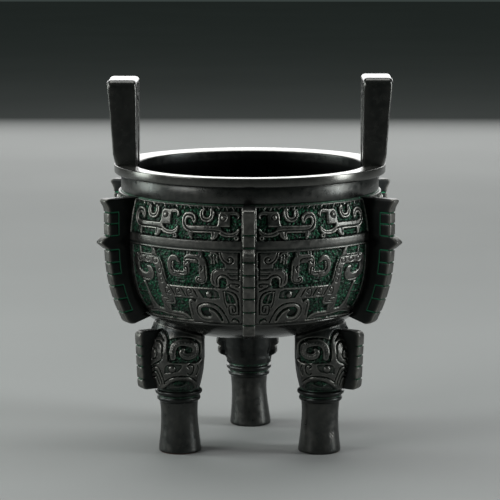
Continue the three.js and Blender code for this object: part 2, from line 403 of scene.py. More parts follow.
def draw_nose_spirals(relief):
    """The fine spirals and the leaf cut in the flat face beside the flange."""
    square = [
        (7.9, 114.3), (6.3, 114.2), (6.3, 115.6), (11.2, 115.8), (11.8, 114), (9.2, 112.6), (6.3, 111.2),
    ]
    outline = [(16, 111.3), (12.3, 111.1), (9.2, 110), (7.3, 107.7), (6.6, 104.5), (6.6, 99), (6.8, 95.9)]
    lower = [
        (6.8, 95.9), (11.6, 95.6), (12.9, 97), (12.9, 101), (11.6, 102.2), (9.4, 102), (8.7, 100.8),
        (8.8, 98), (10.3, 97.6), (10.8, 99.8),
    ]
    relief.cut_bands(
        (square, 0.33, -0.65, 0.2),
        (outline, 0.4, -0.8, 0.35),
        (lower, 0.36, -0.7, 0.35),
    )
    leaf = [
        (14.6, 110.6), (11.4, 109.4), (9.3, 106.8), (8.6, 103.4), (12, 103.2), (14.2, 104.2), (14.8, 107),
    ]
    relief.cut_area(leaf, -0.75, 0.35, 0.6)
    relief.raise_band([(13, 108.8), (12.2, 106.6), (11.9, 104.6)], (0.35, 0.6, 0.35), -0.2)
    relief.cut_bands(
        ([(16, 111.3), (15.6, 107.4), (15.3, 103.6), (14.2, 100.6)], 0.3, -0.7, 0.3),
        (
            [(12.3, 91.2), (10.6, 92.6), (8.6, 92.1), (7.5, 90.9), (7.4, 89.6)], (0.25, 0.7, 0.8, 0.6, 0.3),
            -0.9, 0.35,
        ),
    )


def draw_horn(relief):
    """The curl and the arched horn in the pocket over the eye."""
    horn = [
        (44.3, 127.9), (46.2, 129.7), (48.8, 129.7), (50.5, 127.2), (50.5, 123.6), (48.6, 121),
        (44.6, 120.6), (40.8, 120.8), (39.2, 122.8), (39.1, 127.4), (37.9, 130.2), (34.5, 130.5),
        (30.4, 130.3), (28.6, 128), (28.4, 123.5), (28.3, 119.3), (29.3, 117.6), (31.4, 117.6),
    ]
    halves = (0.6, 1.7, 2.1, 2.2, 2.2, 2.1, 1.9, 1.9, 2.1, 2.1, 2.5, 2.6, 2.5, 2.5, 2.6, 2.6, 2.5, 2.3)
    relief.raise_band(horn, halves)
    lines = [
        [(31.2, 128.4), (32.2, 130.2), (35.5, 130.6), (39.2, 130.5), (40.1, 129), (39.7, 127.6)],
        [(36.6, 128.6), (38.4, 128.9), (39, 127.8)],
        [(38.2, 121.6), (38.4, 124.6), (39.6, 125.2), (40.6, 124.4), (40, 123.4)],
        [(45.4, 119.6), (40.4, 119.4), (38.2, 121.2)], [(43.8, 121.4), (41, 121.2)],
        [(46.6, 128.5), (49.2, 127.8), (49.7, 124), (47.9, 121.6)],
        [
            (27.1, 126.2), (26.9, 118.2), (28.4, 116.1), (31.2, 116), (32.4, 117.6), (31.6, 119),
            (29.9, 118.4),
        ],
        [(29.6, 126.4), (28.8, 124.8), (29.6, 123)],
    ]
    for line in lines:
        relief.cut_band(line, 0.36, -0.8, green=0.15)
    # Short tongues over the horn, and the nested strokes to either side of the pocket.
    relief.raise_area(
        [(28.2, 131), (28.5, 134.4), (30.3, 135.6), (31.6, 135.2), (31.2, 133.4), (31.3, 131)], -0.3,
    )
    relief.cut_band([(30, 132.2), (30, 134)], 0.25, -0.5)
    nested = [(47, 117.6), (41.6, 117.5), (40.4, 116.6), (41.6, 115.7), (46.4, 115.7)]
    relief.raise_bands(
        ([(36.6, 131.2), (36.7, 133.6), (36.4, 135.4)], 0.5, -0.2),
        ([(38.9, 131.2), (38.4, 133.4), (37.7, 135.4)], 0.55, -0.2),
        ([(40.8, 131.4), (40.4, 133.6), (41.6, 135.2)], 0.4, -0.3),
        (nested, 0.34, -0.4),
        ([(38.8, 117.4), (36.2, 116.2), (33.6, 116)], 0.32, -0.45),
    )
    relief.raise_area(
        [(18, 126.6), (18.6, 134.6), (24.6, 134.8), (25.2, 131), (24, 126.8)], -0.9, smooth=False,
    )
    for line in (
        [(24.2, 133), (22.9, 131.4), (22.7, 128)],
        [(23.3, 134.3), (20.6, 134.4), (18.8, 132.9)],
        [(21.3, 133), (21, 128)],
        [(19.5, 132), (19.1, 129)],
    ):
        relief.raise_band(line, 0.48, 0, 0.35)


def draw_channel(relief):
    """The deep channel that outlines the pocket over the eye."""
    channel = [
        (28.3, 134.4), (26.5, 131.6), (24.9, 127), (24.4, 122), (24.4, 117), (25.2, 114.7), (28.5, 114.2),
        (38, 114.1), (47, 114.2), (51.2, 114.6), (53.2, 117), (54.4, 121.5), (55.9, 127), (58.2, 131.4),
        (60.6, 134.4),
    ]
    relief.cut_bands(
        (channel, (1.1, 1, 0.9, 0.8, 0.8, 0.8, 0.7, 0.6, 0.7, 1, 1.1, 1, 1, 1, 0.9), DEEP - 0.15, 0.9),
        ([(17.5, 113.4), (24.8, 114.3)], (0.4, 0.8), DEEP, 0.9),
    )


def draw_eye(relief):
    socket = [(31.8, 111.4), (21.6, 111.7), (19.4, 110.3), (18.8, 106.7), (24, 106.2), (29.2, 106.7)]
    relief.cut_area(socket, -0.5, 0.4, 0.45, smooth=False)
    relief.cut_band([*socket, socket[0]], 0.28, -0.8, green=0.4, smooth=False)
    relief.cut_band(dot(25.2, 108.7), 2.5, -0.85, green=0.6)
    relief.raise_band([(21.4, 110), (20.8, 108), (21.6, 107.4)], 0.6, -0.2)
    relief.dome((25.3, 108.7), 2.05, 1.75)
    # The brow to the left of the eye: slanted cuts with a square hook in each space between them.
    for base in (33.2, 41.4, 49.4):
        relief.cut_band(
            [(base + 2.5, 111.6), (base + 1.2, 109.4), (base, 106.7)], (0.35, 0.55, 0.3), -0.75, green=0.25,
        )
        hook = [
            (base + 3.2, 107), (base + 6.4, 107.1), (base + 7, 109.2), (base + 6.2, 111.4),
            (base + 4.2, 111.4), (base + 3.7, 109.6), (base + 4.9, 108.9),
        ]
        relief.cut_band(hook, 0.3, -0.6, green=0.2)


def draw_body_band(relief):
    """The broad band that climbs from the eye to the back flange, and the curl it ends in."""
    relief.raise_area(
        [(17, 105.4), (17, 113), (53, 113), (56, 113), (62, 112.6), (60, 105.4)], smooth=False,
    )
    band = [
        (56.8, 108), (57.6, 113), (58.4, 119), (59.8, 124.6), (62.4, 127.6), (67, 127.9), (74, 127.8),
        (79, 127.2),
    ]
    curl = [
        (79.3, 127), (79.5, 122), (77.6, 118.3), (73.6, 116.6), (69.3, 116.4), (66.8, 118.4), (67, 121.2),
        (69.2, 123),
    ]
    relief.raise_bands(
        (band, (3.4, 3.5, 3.3, 3.1, 3.1, 2.9, 2.9, 3), 0),
        (curl, (2.7, 2.4, 2.5, 2.7, 2.7, 2.5, 2, 0.6), 0),
    )
    rim = [
        (52, 112.2), (54.6, 114.3), (55.9, 118), (57.3, 124), (59.2, 128.2), (62, 129.8), (70, 129.9),
        (78, 129.8),
    ]
    relief.cut_bands(
        ([(76, 124.4), (75.4, 120.8), (73.4, 118.9), (70.8, 118.9), (69.7, 120.4)], 0.28, -0.5, 0.2),
        ([(78.3, 115.7), (72, 114.9), (67.2, 115.2)], 0.25, -0.4, 0.15),
        (rim, 0.34, -0.75, 0.2),
    )
    for x, y, wide, tall in (
        (62.2, 127.4, 1.7, 1.7), (69, 127.6, 2, 1.4), (76, 127.4, 1.6, 1.5), (59, 121.2, 1.2, 1.7),
        (58, 115.6, 1.2, 1.5),
    ):
        turn = np.linspace(0, 2 * math.pi, 13)
        relief.cut_band(
            np.column_stack([x + wide * np.cos(turn), y + tall * np.sin(turn)]), 0.3, -0.45, green=0.2,
        )
    # Tongues between this band and the border above it.
    relief.raise_area(
        [(61, 130.4), (62.2, 133.6), (64.4, 135.6), (66.4, 135.3), (65.3, 133.4), (64.8, 130.6)],
    )
    relief.raise_bands(
        ([(75.4, 130.6), (75.7, 133), (76.6, 135.4)], (1.1, 0.9, 0.6), -0.05),
        ([(67.5, 132.8), (73.4, 132.7)], 0.35, -0.5),
    )
    relief.raise_area([(83.4, 88), (83.4, 135.4), (88, 135.4), (88, 88)], -0.25, smooth=False)


def draw_jaw(relief):
    """The great curl of the jaw under the eye, and the flat cheek round it."""
    cheek = [
        (4, 89), (4, 113), (18, 113), (19, 106), (34, 105.4), (35.4, 103.2), (38.6, 102.4), (39.6, 99),
        (40.2, 95), (41.6, 91.4), (42, 89),
    ]
    relief.raise_area(cheek, smooth=False)
    outer_line = [
        (14.6, 89.6), (15.7, 94), (17.8, 98.6), (21.2, 101.9), (25.6, 103.1), (30, 102.7), (33.6, 101),
        (35.4, 98), (35.3, 94.4), (33.4, 91.9), (30, 91), (26.4, 91.2),
    ]
    relief.cut_band(
        outer_line, (0.5, 0.5, 0.55, 0.5, 0.45, 0.4, 0.4, 0.4, 0.35, 0.35, 0.3, 0.25), -0.85, green=0.2,
    )
    recess = [
        (26.6, 99.9), (29.4, 100.4), (31.8, 99.3), (33, 97), (32.4, 94.4), (30.6, 93.5), (27, 93.5),
        (25.9, 95.6), (27, 97.6),
    ]
    relief.cut_area(recess, DEEP - 0.2, green=1.0)
    slot = [(28.6, 99.9), (25, 99.4), (22, 97.6), (20, 94.6), (19.2, 91.4)]
    relief.cut_band(slot, (0.5, 0.9, 1.1, 1.1, 0.7), DEEP, green=0.3)
    rim = [
        (16.7, 89.4), (17.3, 93.2), (19.3, 97.5), (22.5, 100.5), (26.5, 101.7), (30.6, 101.2), (33.5, 98.9),
        (34.1, 95.9), (33, 93.3), (30.4, 92.3), (27, 92.4),
    ]
    relief.raise_band(rim, (0.5, 0.6, 0.7, 0.75, 0.75, 0.75, 0.7, 0.7, 0.6, 0.5, 0.4), 0.3, 0.8)
    tusk = [(27, 98), (24.2, 97.6), (22.1, 95.4), (21.2, 92), (21, 89.6)]
    relief.raise_bands(
        (tusk, (0.3, 0.5, 0.5, 0.45, 0.3), 0.1),
        (
            [(36.4, 102.9), (38, 103.9), (39.5, 102.6), (40.1, 99.4), (40.4, 95.5), (41.6, 92)],
            (0.9, 1, 0.7, 0.6, 0.6, 0.5), 0.1,
        ),
    )
    relief.cut_band([(38.4, 101.4), (38.9, 98), (39.3, 94.4)], 0.28, -0.6, green=0.5)


def draw_claw(relief):
    """The branch, the long claw and the slanted ridge at the lower back of the mask."""
    relief.cut_band([(55.4, 98), (50, 97.6), (46, 96.6), (42.6, 93.6)], (0.8, 0.8, 1, 1), DEEP, green=0.5)
    branch = [
        (50.1, 105.6), (50, 102.2), (51.4, 100.3), (55.3, 99.9), (56.6, 95.4), (63, 95.4), (61.5, 100),
        (61, 105.6),
    ]
    relief.raise_area(branch, smooth=False)
    relief.cut_bands(
        ([(51.6, 104.4), (51.7, 102.4), (53, 101.7), (58.6, 101.6)], 0.28, -0.55, 0.5),
        ([(59.4, 104.6), (55.6, 104.4), (54.8, 103.2), (57.6, 102.7)], 0.3, -0.55, 0.4),
        ([(60, 99.6), (58.6, 97.6), (58, 95.6)], 0.28, -0.6, 0.4),
    )
    claw = [
        (43.6, 91.8), (46.6, 93), (51, 93.2), (58, 93.4), (64, 94.6), (70, 95.2), (77, 94.4), (83, 93.6),
    ]
    relief.raise_band(claw, (0.7, 1.9, 2.2, 2.1, 1.9, 1.7, 1.6, 1.5))
    relief.cut_band(
        [(45.4, 91.8), (48.6, 93.4), (54, 93.5), (62, 94), (70, 94.9), (78, 94)], 0.3, -0.6, green=0.35,
    )
    relief.cut_area([(56, 89.8), (56.8, 91.2), (60, 91), (59.6, 89.8)], -0.9)
    ridge = [
        (75.6, 113.4), (73.4, 113), (71.8, 109.8), (70.6, 104.8), (69.4, 100), (67.6, 96), (76, 95.6),
        (73.8, 99.6), (73, 105), (74, 109.6),
    ]
    relief.raise_area(ridge)
    relief.cut_band([(74, 111.2), (72.4, 106.4), (71.8, 101), (71.4, 97.4)], 0.3, -0.5, green=0.35)
    relief.raise_bands(
        ([(83.6, 105.4), (79, 105.9), (74.4, 106.2)], 0.4, -0.3),
        ([(83.6, 110.6), (79, 110.4), (76, 110.8)], 0.4, -0.45),
        ([(83.4, 99.4), (79, 99.4), (75.6, 98.6)], 0.4, -0.45),
    )


def draw_lower_frieze(relief):
    relief.cut_area(
        [(3.4, 90.4), (3.4, 135.2), (87.2, 135.2), (87.2, 90.4)], GROUND, 0.4, 0.75, smooth=False,
    )
    draw_body_band(relief)
    draw_jaw(relief)
    draw_channel(relief)
    draw_nose_panel(relief)
    draw_nose_spirals(relief)
    draw_horn(relief)
    draw_eye(relief)
    draw_claw(relief)
    relief.raise_band([(3, 135.4), (88, 135.4)], 0.45, 0, smooth=False)
    relief.cut_band([(3, 136.25), (88, 136.25)], 0.28, -0.6, green=0.5, smooth=False)
    relief.raise_band([(4.6, 89), (4.6, 135)], 0.6, 0, smooth=False)
    relief.cut_band([(3, 89.3), (88, 89.3)], 0.3, -0.5, green=0.3, smooth=False)


def bowl_relief():
    relief = Relief((0, 91), (87.5, 163))
    draw_upper_frieze(relief)
    draw_lower_frieze(relief)
    relief.finish(seed=11)
    # The plain borders are less rubbed than the figures; the strip beside the flange is darkened as painted
    # shade in the corner by the flange.
    for low, high, share in PLAIN_BORDERS:
        relief.worn[(relief.up > low) & (relief.up < high)] *= share
    relief.worn[:, relief.across < 5.4] *= 0.6
    return relief


# --- Meshes ---


def placed(name, data):
    """A new object in the scene."""
    thing = bpy.data.objects.new(name, data)
    bpy.context.scene.collection.objects.link(thing)
    return thing


def new_piece(name, vertices, faces, corner_uvs, attributes, material):
    """A smooth-shaded mesh of the casting. faces holds arrays of equal-sided faces, or plain lists."""
    flat = [np.asarray(face) for group in faces for face in group]
    sizes = np.array([len(face) for face in flat])
    loops = np.concatenate(flat)
    mesh = bpy.data.meshes.new(name)
    mesh.vertices.add(len(vertices))
    mesh.vertices.foreach_set("co", (np.asarray(vertices) * MM).astype(np.float32).ravel())
    mesh.loops.add(len(loops))
    mesh.loops.foreach_set("vertex_index", loops.astype(np.int32))
    mesh.polygons.add(len(flat))
    mesh.polygons.foreach_set("loop_start", (np.cumsum(sizes) - sizes).astype(np.int32))
    mesh.update(calc_edges=True)
    mesh.validate()
    layer = mesh.uv_layers.new(name="OFBake")
    layer.uv.foreach_set("vector", np.asarray(corner_uvs, np.float32).ravel())
    for key, values in attributes.items():
        attribute = mesh.attributes.new(key, "FLOAT", "POINT")
        attribute.data.foreach_set("value", np.asarray(values, np.float32))
    mesh.shade_smooth()
    mesh.materials.append(material)
    piece = placed(name, mesh)
    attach(piece, "root")
    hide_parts("ding_vessel")


def closed_tube(name, rings, attributes, material, flat_ends=False):
    """A piece with a closed skin over rings of points (rings, points round, 3), all run the same way."""
    count, around = rings.shape[:2]
    index = np.arange(count * around).reshape(count, around)
    across = np.roll(index, -1, axis=1)
    quads = np.stack([index[:-1], across[:-1], across[1:], index[1:]], -1).reshape(-1, 4)
    step = np.linalg.norm(np.roll(rings, -1, axis=1) - rings, axis=2).mean(axis=0)
    along_u = np.concatenate([[0], np.cumsum(step)]) / step.sum()
    rise = np.linalg.norm(np.diff(rings, axis=0), axis=2).mean(axis=1)
    along_v = 0.03 + 0.94 * np.concatenate([[0], np.cumsum(rise)]) / rise.sum()
    u0, v0 = np.meshgrid(along_u[:-1], along_v[:-1])
    u1, v1 = np.meshgrid(along_u[1:], along_v[1:])
    uvs = [np.stack([u0, v0, u1, v0, u1, v1, u0, v1], -1).reshape(-1, 2)]
    vertices = rings.reshape(-1, 3)
    attributes = {key: np.asarray(value, float) for key, value in attributes.items()}
    if flat_ends:
        turn = np.linspace(0, 2 * math.pi, around, endpoint=False)
        for low in (0.002, 0.975):
            uvs.append(np.stack([0.5 + 0.4 * np.cos(turn), low + 0.01 + 0.01 * np.sin(turn)], -1))
        faces = [quads, [list(index[0][::-1]), list(index[-1])]]
        values = {key: value.reshape(-1) for key, value in attributes.items()}
    else:
        vertices = np.vstack([vertices, rings[[0, -1]].mean(axis=1)])
        low_middle, high_middle = np.full((2, around), count * around) + [[0], [1]]
        lows = np.stack([across[0], index[0], low_middle], -1)
        highs = np.stack([index[-1], across[-1], high_middle], -1)
        left, right = along_u[:-1], along_u[1:]
        middle, flat = (left + right) / 2, np.ones(around)
        low_cap = [right, 0.03 * flat, left, 0.03 * flat, middle, 0 * flat]
        high_cap = [left, 0.97 * flat, right, 0.97 * flat, middle, flat]
        uvs += [np.stack(cap, -1).reshape(-1, 2) for cap in (low_cap, high_cap)]
        faces = [quads, lows, highs]
        values = {
            key: np.append(value.reshape(-1), value[[0, -1]].mean(axis=1))
            for key, value in attributes.items()
        }
    new_piece(name, vertices, faces, np.vstack(uvs), values, material)


def turned(points, angle):
    """Points in the plane of the +X radius, turned about the vessel's axis."""
    cos, sin = math.cos(angle), math.sin(angle)
    x, y, z = points[..., 0], points[..., 1], points[..., 2]
    return np.stack([x * cos - y * sin, x * sin + y * cos, z], -1)


def round_axis(radius, angle, level, middle=(0, 0)):
    """Points at these radii, angles and levels round an upright axis through the middle."""
    x, y = middle[0] + radius * np.cos(angle), middle[1] + radius * np.sin(angle)
    return np.stack([x, y, level], -1)


def arc(centre, radius, start, end, count):
    turn = np.radians(np.linspace(start, end, count))
    return [(centre[0] + radius * math.cos(a), centre[1] + radius * math.sin(a)) for a in turn]


# --- The bowl ---


def wall_rows(low, high, spacing):
    """Levels that lie that far apart along the wall."""
    level = np.linspace(low, high, 2000)
    length = np.append(0, np.cumsum(np.hypot(np.diff(level), np.diff(wall_radius(level)))))
    count = int(length[-1] / spacing)
    return np.interp(np.linspace(0, length[-1], count + 1), length, level)


def frieze_tile(number, relief, material):
    """One sixth of the decorated wall, from one flange to the next, backed by a thin closed skin."""
    rows = np.concatenate([
        wall_rows(FRIEZE_LOW, FRIEZE_SPLIT, TILE_SPACING),
        wall_rows(FRIEZE_SPLIT, BAND_EDGE, 1.1)[1:],
        wall_rows(BAND_EDGE, NECK_BOTTOM, TILE_SPACING)[1:],
    ])
    front = np.arange(TILE_INSET, SECTOR * BELLY_RADIUS - TILE_INSET, TILE_SPACING)
    back = np.linspace(front[-1], front[0], 14)
    across, level = np.meshgrid(np.concatenate([front, back]), rows)
    behind = np.arange(len(front) + len(back)) >= len(front)
    # Each sixth is cast from its own part of the mould, so the wear differs a little.
    uneven = grains(level.shape, 14, 30 + number)
    height = relief.sample(relief.height, across, level) + 0.05 * uneven
    height = np.where(behind, -TILE_BACK, height)
    out, up = wall_normal(level)
    first = -math.pi / 2 + number * SECTOR
    turn = across / BELLY_RADIUS
    mirrored = number % 2 == 1
    angle = first + SECTOR - turn if mirrored else first + turn
    rings = round_axis(wall_radius(level) + out * height, angle, level + up * height)
    # The plain band between the friezes is left duller than the rest.
    fields = {
        "green": relief.sample(relief.green, across, level) * np.clip(0.86 + 0.2 * uneven, 0.2, 1),
        "polish": np.where((level > FRIEZE_SPLIT) & (level < BAND_EDGE), -0.8, 0.0),
        "worn": relief.sample(relief.worn, across, level),
        # painted shade from the relief's corners and cuts
        "painted_shade_and_dark_tone": relief.sample(relief.painted_shade_and_dark_tone, across, level),
    }
    fields = {key: np.where(behind, 0, field) for key, field in fields.items()}
    if mirrored:
        rings = rings[:, ::-1]
        fields = {key: field[:, ::-1] for key, field in fields.items()}
    closed_tube(f"frieze_{number + 1}", rings, fields, material, flat_ends=True)


def shell_profile():
    """The plain parts of the bowl as one closed outline, from under the bowl round the lip to the inside.

    With it comes how many of its points are under the bowl, and how many are inside.
    """
    bottom = WIDEST - BELLY_DEPTH
    under = [(0.4, bottom)]
    under += [(float(wall_radius(z)), float(z)) for z in wall_rows(bottom + 0.02, FRIEZE_LOW - 0.05, 2.2)]
    behind = [(float(wall_radius(z)) - 1.9, float(z)) for z in np.linspace(FRIEZE_LOW + 0.3, 161.9, 14)]
    neck = [
        (NECK_RADIUS + 0.6, NECK_BOTTOM), (NECK_RADIUS - 0.9, NECK_BOTTOM + 0.05),
        (NECK_RADIUS - 0.95, NECK_BOTTOM + 0.6), (NECK_RADIUS - 0.15, NECK_BOTTOM + 1.1),
        (NECK_RADIUS, NECK_BOTTOM + 1.4), (NECK_RADIUS, 167.5), (NECK_RADIUS, LIP_BOTTOM - 1.2),
        (NECK_RADIUS - 0.4, LIP_BOTTOM - 0.5), (NECK_RADIUS - 0.3, LIP_BOTTOM),
    ]
    lip = [(NECK_RADIUS + 1.6, LIP_BOTTOM)]
    lip += arc((LIP_RADIUS - 1.1, LIP_BOTTOM + 1.1), 1.1, -90, 0, 5)
    lip += [(LIP_RADIUS, 176.4)]
    lip += arc((LIP_RADIUS - 0.6, LIP_OUTER_TOP - 0.6), 0.6, 0, 94, 6)
    lip += [(80, LIP_OUTER_TOP - 0.22), (75, LIP_OUTER_TOP - 0.5)]
    lip += arc((MOUTH_RADIUS + 1.1, LIP_INNER_TOP - 1.1), 1.1, 94, 180, 6)
    inside = [(MOUTH_RADIUS, 174.6)]
    for share in np.linspace(0, 1, 10):
        radius = MOUTH_RADIUS + (CAVITY_RADIUS - MOUTH_RADIUS) * smoothstep(share)
        inside.append((radius, MOUTH_BOTTOM - (MOUTH_BOTTOM - WIDEST) * share))
    for turn in np.linspace(math.pi / 2, 0.01, 20)[1:]:
        out, down = math.sin(turn) ** (2 / BELLY_POWER), math.cos(turn) ** (2 / BELLY_POWER)
        inside.append((CAVITY_RADIUS * out, WIDEST - CAVITY_DEPTH * down))
    return np.array(under + behind + neck + lip + inside), len(under), len(inside)


def bowl_shell(material):
    profile, under_count, inside_count = shell_profile()
    turn = np.linspace(0, 2 * math.pi, 216, endpoint=False)
    r, z = profile.T
    # A hand-finished casting is not quite round.
    wander = 0.12 * np.sin(2 * turn + 0.7) + 0.07 * np.sin(5 * turn)
    radius = r[:, None] + wander * np.clip(r[:, None] / 40, 0, 1)
    rings = round_axis(radius, turn, np.broadcast_to(z[:, None], radius.shape))
    index = np.arange(len(r))
    under = index < under_count
    inside = index > len(r) - inside_count
    polish = smoothstep((z - LIP_INNER_TOP + 0.5) / 0.6) * (r > MOUTH_RADIUS - 0.5)
    on_neck = r > NECK_RADIUS - 1.8
    neck = (z > NECK_BOTTOM) & (z < LIP_BOTTOM) & on_neck
    seam = (z > NECK_BOTTOM - 0.1) & (z < NECK_BOTTOM + 0.7) & on_neck
    rim = (z > LIP_BOTTOM + 0.5) & (r > LIP_RADIUS - 1.5) & (polish < 0.5)
    outermost = r > LIP_RADIUS - 1.1
    fields = {
        "worn": (0.65 - 0.35 * outermost) * polish + 0.12 * under + 0.08 * neck + 0.22 * rim,
        "polish": 0.9 * polish + under + 0.2 * neck + 0.8 * rim,
        "green": 0.5 * seam,
        # painted shade over the inside of the bowl
        "painted_shade_and_dark_tone": 1.0 * inside,
    }
    fields = {key: np.repeat(value[:, None], len(turn), axis=1) for key, value in fields.items()}
    closed_tube("bowl_shell", rings, fields, material)


# --- Notched flanges ---

FLANGE_HALF = 3.6
FLANGE_RADIUS = 101.2
FLANGE_DEPTH = 95.0
FLANGE_POWER = 2.2
FLANGE_LOW = 88.1
FLANGE_HIGH = 162.6
FLANGE_NOTCHES = (154.2, 147.4, 140.0, 131.3, 123.5, 116.2, 108.9, 100.4, 91.9)
FLANGE_CELLS = ((140.0, 154.2), (116.2, 131.3), (91.9, 108.9))
# A flange's lowest rings turn in to the bowl's underside: radius and level outside, then at the root.
FLANGE_TAIL = (
    (84, 84.2, 72, 88.1), (85.6, 84.4, 73, 88.8), (87.2, 84.9, 74, 89.5), (88.5, 85.8, 75, 90.2),
    (89.5, 87, 76, 90.9),
)
BEVEL = 0.9
NOTCH_HALF = 0.5


def flange_outer(level):
    """How far the flange reaches at a level, without its notches."""
    drop = np.clip((WIDEST - level) / FLANGE_DEPTH, 0, 1)
    reach = FLANGE_RADIUS * superellipse(drop, FLANGE_POWER)
    hook_levels = (154.4, 155.6, 157, 158.6, 160, 161, 161.8, 162.3, 162.6)
    hook = np.interp(level, hook_levels, (-0.4, -0.3, 0, 0.8, 1.7, 2.15, 1.95, 1.3, 0.5))
    cusp_levels = (131.3, 132.4, 134, 135.2, 135.8, 136.3, 137.2, 138.2, 139.1, 139.7, 140)
    cusp = np.interp(level, cusp_levels, (0, 1.3, 3.3, 4.75, 5.2, 5.1, 4.3, 3.2, 1.9, 0.7, 0))
    return reach + hook + cusp


def notch_depth(level, notches):
    """From 0 on the face to 1 at the bottom of a notch."""
    gap = np.min(np.abs(level[:, None] - np.array(notches)), axis=1)
    return smoothstep((NOTCH_HALF - gap) / (0.55 * NOTCH_HALF))


def flange_stations(low, high, notches, spacing):
    """Levels from low to high, closer together at each notch."""
    stations = list(np.arange(low, high, spacing))
    for notch in notches:
        stations = [s for s in stations if abs(s - notch) > 0.75]
        stations += [notch + offset for offset in (-0.62, -0.4, -0.22, 0, 0.22, 0.4, 0.62)]
    return np.array(sorted(set(stations + [high])))


def plate_section():
    """Steps round half of a plate's edge: how far in from its outer face, and how far to the side."""
    side = [(inward, 1) for inward in (14, 11, 9, 8, 7.5, 7.25, 7, 6.75, 6.5, 6, 4.6, 3, 1.8)]
    corner = [
        (BEVEL - BEVEL * math.sin(a), 1 - BEVEL / FLANGE_HALF * (1 - math.cos(a)))
        for a in np.radians([0, 30, 60, 90])
    ]
    return np.array(side + corner + [(0, 0.35)])


def swept_plate(name, angle, profile, half, notches, groove, narrowed, material, cells=()):
    """A plate that stands out from the casting, as rings from its inner edge round its outer face.

    profile has the radius and level of its outer edge and of its root. The notches show on its sides
    as far in as groove, narrowed says how much thinner its two ends are, and a line is cut down its
    sides between each pair of levels in cells.
    """
    section = plate_section()
    inward, side = np.vstack([section * (1, -1), section[::-1]]).T
    on_side = np.abs(side) > 0.99
    outer, level, root, root_level = profile.T[:, :, None]
    dent = notch_depth(profile[:, 1], notches)[:, None]
    reach = np.hypot(outer - root, level - root_level)
    span = np.where(inward < 13, np.minimum(inward, reach * 0.92), reach)
    span = span + np.where(on_side, 0, 0.95 * dent * (inward < 1))
    cut = dent * smoothstep((groove - inward) / 0.5) * on_side
    for bottom, top in cells:
        seam = ((level > bottom) & (level < top)) * smoothstep(1 - np.abs(inward - 7) / 0.4)
        cut = np.maximum(cut, seam * on_side)
    share = span / reach
    narrow = np.ones((len(profile), 1))
    narrow[[0, -1], 0] -= narrowed
    x = outer + (root - outer) * share
    y = side * half * narrow - np.sign(side) * 0.55 * cut
    z = level + (root_level - level) * share
    rings = np.stack([x, y, z], -1)
    edge = np.exp(-np.abs(inward - 0.5) / 0.6) * (1 - cut)
    green = np.clip(0.95 * cut + 0.9 * dent * (inward < 1.2), 0, 1)
    worn = np.clip(0.9 * edge * (1 - dent), 0, 1)
    # Painted shade darkens the plate's sides, away from its rubbed edge and its green lines.
    painted_shade_and_dark_tone = 0.4 * (1 - worn) * (1 - green)
    pale = 0.9 * cut * (inward > 1.2)
    fields = {"green": green, "worn": worn, "painted_shade_and_dark_tone": painted_shade_and_dark_tone, "pale": pale}
    fields = {key: field[::-1] for key, field in fields.items()}
    closed_tube(name, turned(rings[::-1], angle), fields, material)


def bowl_flange(number, material):
    # The front flange is smooth where the others have their highest notch.
    notches = FLANGE_NOTCHES[1:] if number == 0 else FLANGE_NOTCHES
    level = flange_stations(FLANGE_LOW, FLANGE_HIGH, notches, 0.85)
    # The plate's inner end follows the wall.
    roots = (91.6, 101.5, 112.6, WIDEST, FLANGE_HIGH)
    root_level = np.interp(level, (FLANGE_LOW, 100, 112, WIDEST, FLANGE_HIGH), roots)
    root = np.where(level > 160, NECK_RADIUS - 2, wall_radius(root_level) - 3)
    main = np.column_stack([flange_outer(level), level, root, root_level])
    profile = np.vstack([FLANGE_TAIL, main])
    angle = -math.pi / 2 + number * SECTOR
    swept_plate(
        f"flange_{number + 1}", angle, profile, FLANGE_HALF, notches, 7.3, (0.12, 0.1), material,
        FLANGE_CELLS,
    )


# --- Handles ---

HANDLE_FACE = 70.0  # from the axis to the flat inner face
HANDLE_HALF = 20.0
HANDLE_POST = 12.5
HANDLE_BAR = 11.5
HANDLE_CORNER = 4.5
HANDLE_ROOT = LIP_INNER_TOP - 2.6
HANDLE_THICKNESS = 14.4  # at the lip
HANDLE_THICKENING = 4.2  # from there to the top


def u_outline(half, top, corner):
    """Points up one side of an upside-down U, across its top and down the other side."""
    rise = [(half, HANDLE_ROOT + (top - corner - HANDLE_ROOT) * t) for t in np.linspace(0, 1, 26)]
    right = rise + arc((half - corner, top - corner), corner, 0, 90, 8)[1:]
    across = [((half - corner) * (1 - 2 * t), top) for t in np.linspace(0, 1, 7)[1:-1]]
    return np.array(right + across + [(-x, z) for x, z in right[::-1]])


def beam_section(bevel, steps=6):
    """Points round a beam's section, as a share of its size and a length to add, for each of two ways."""
    corners = ((0, 0), (1, 0), (1, 1), (0, 1))
    points = []
    for number, (a, b) in enumerate(corners):
        for turn in np.radians(np.linspace(180, 270, steps) + 90 * number):
            a_more = bevel * (1 - 2 * a + math.cos(turn))
            points.append((a, a_more, b, bevel * (1 - 2 * b + math.sin(turn))))
        a_next, b_next = corners[(number + 1) % 4]
        for share in (0.3, 0.5, 0.7):
            points.append((a + (a_next - a) * share, 0, b + (b_next - b) * share, 0))
    return np.array(points)


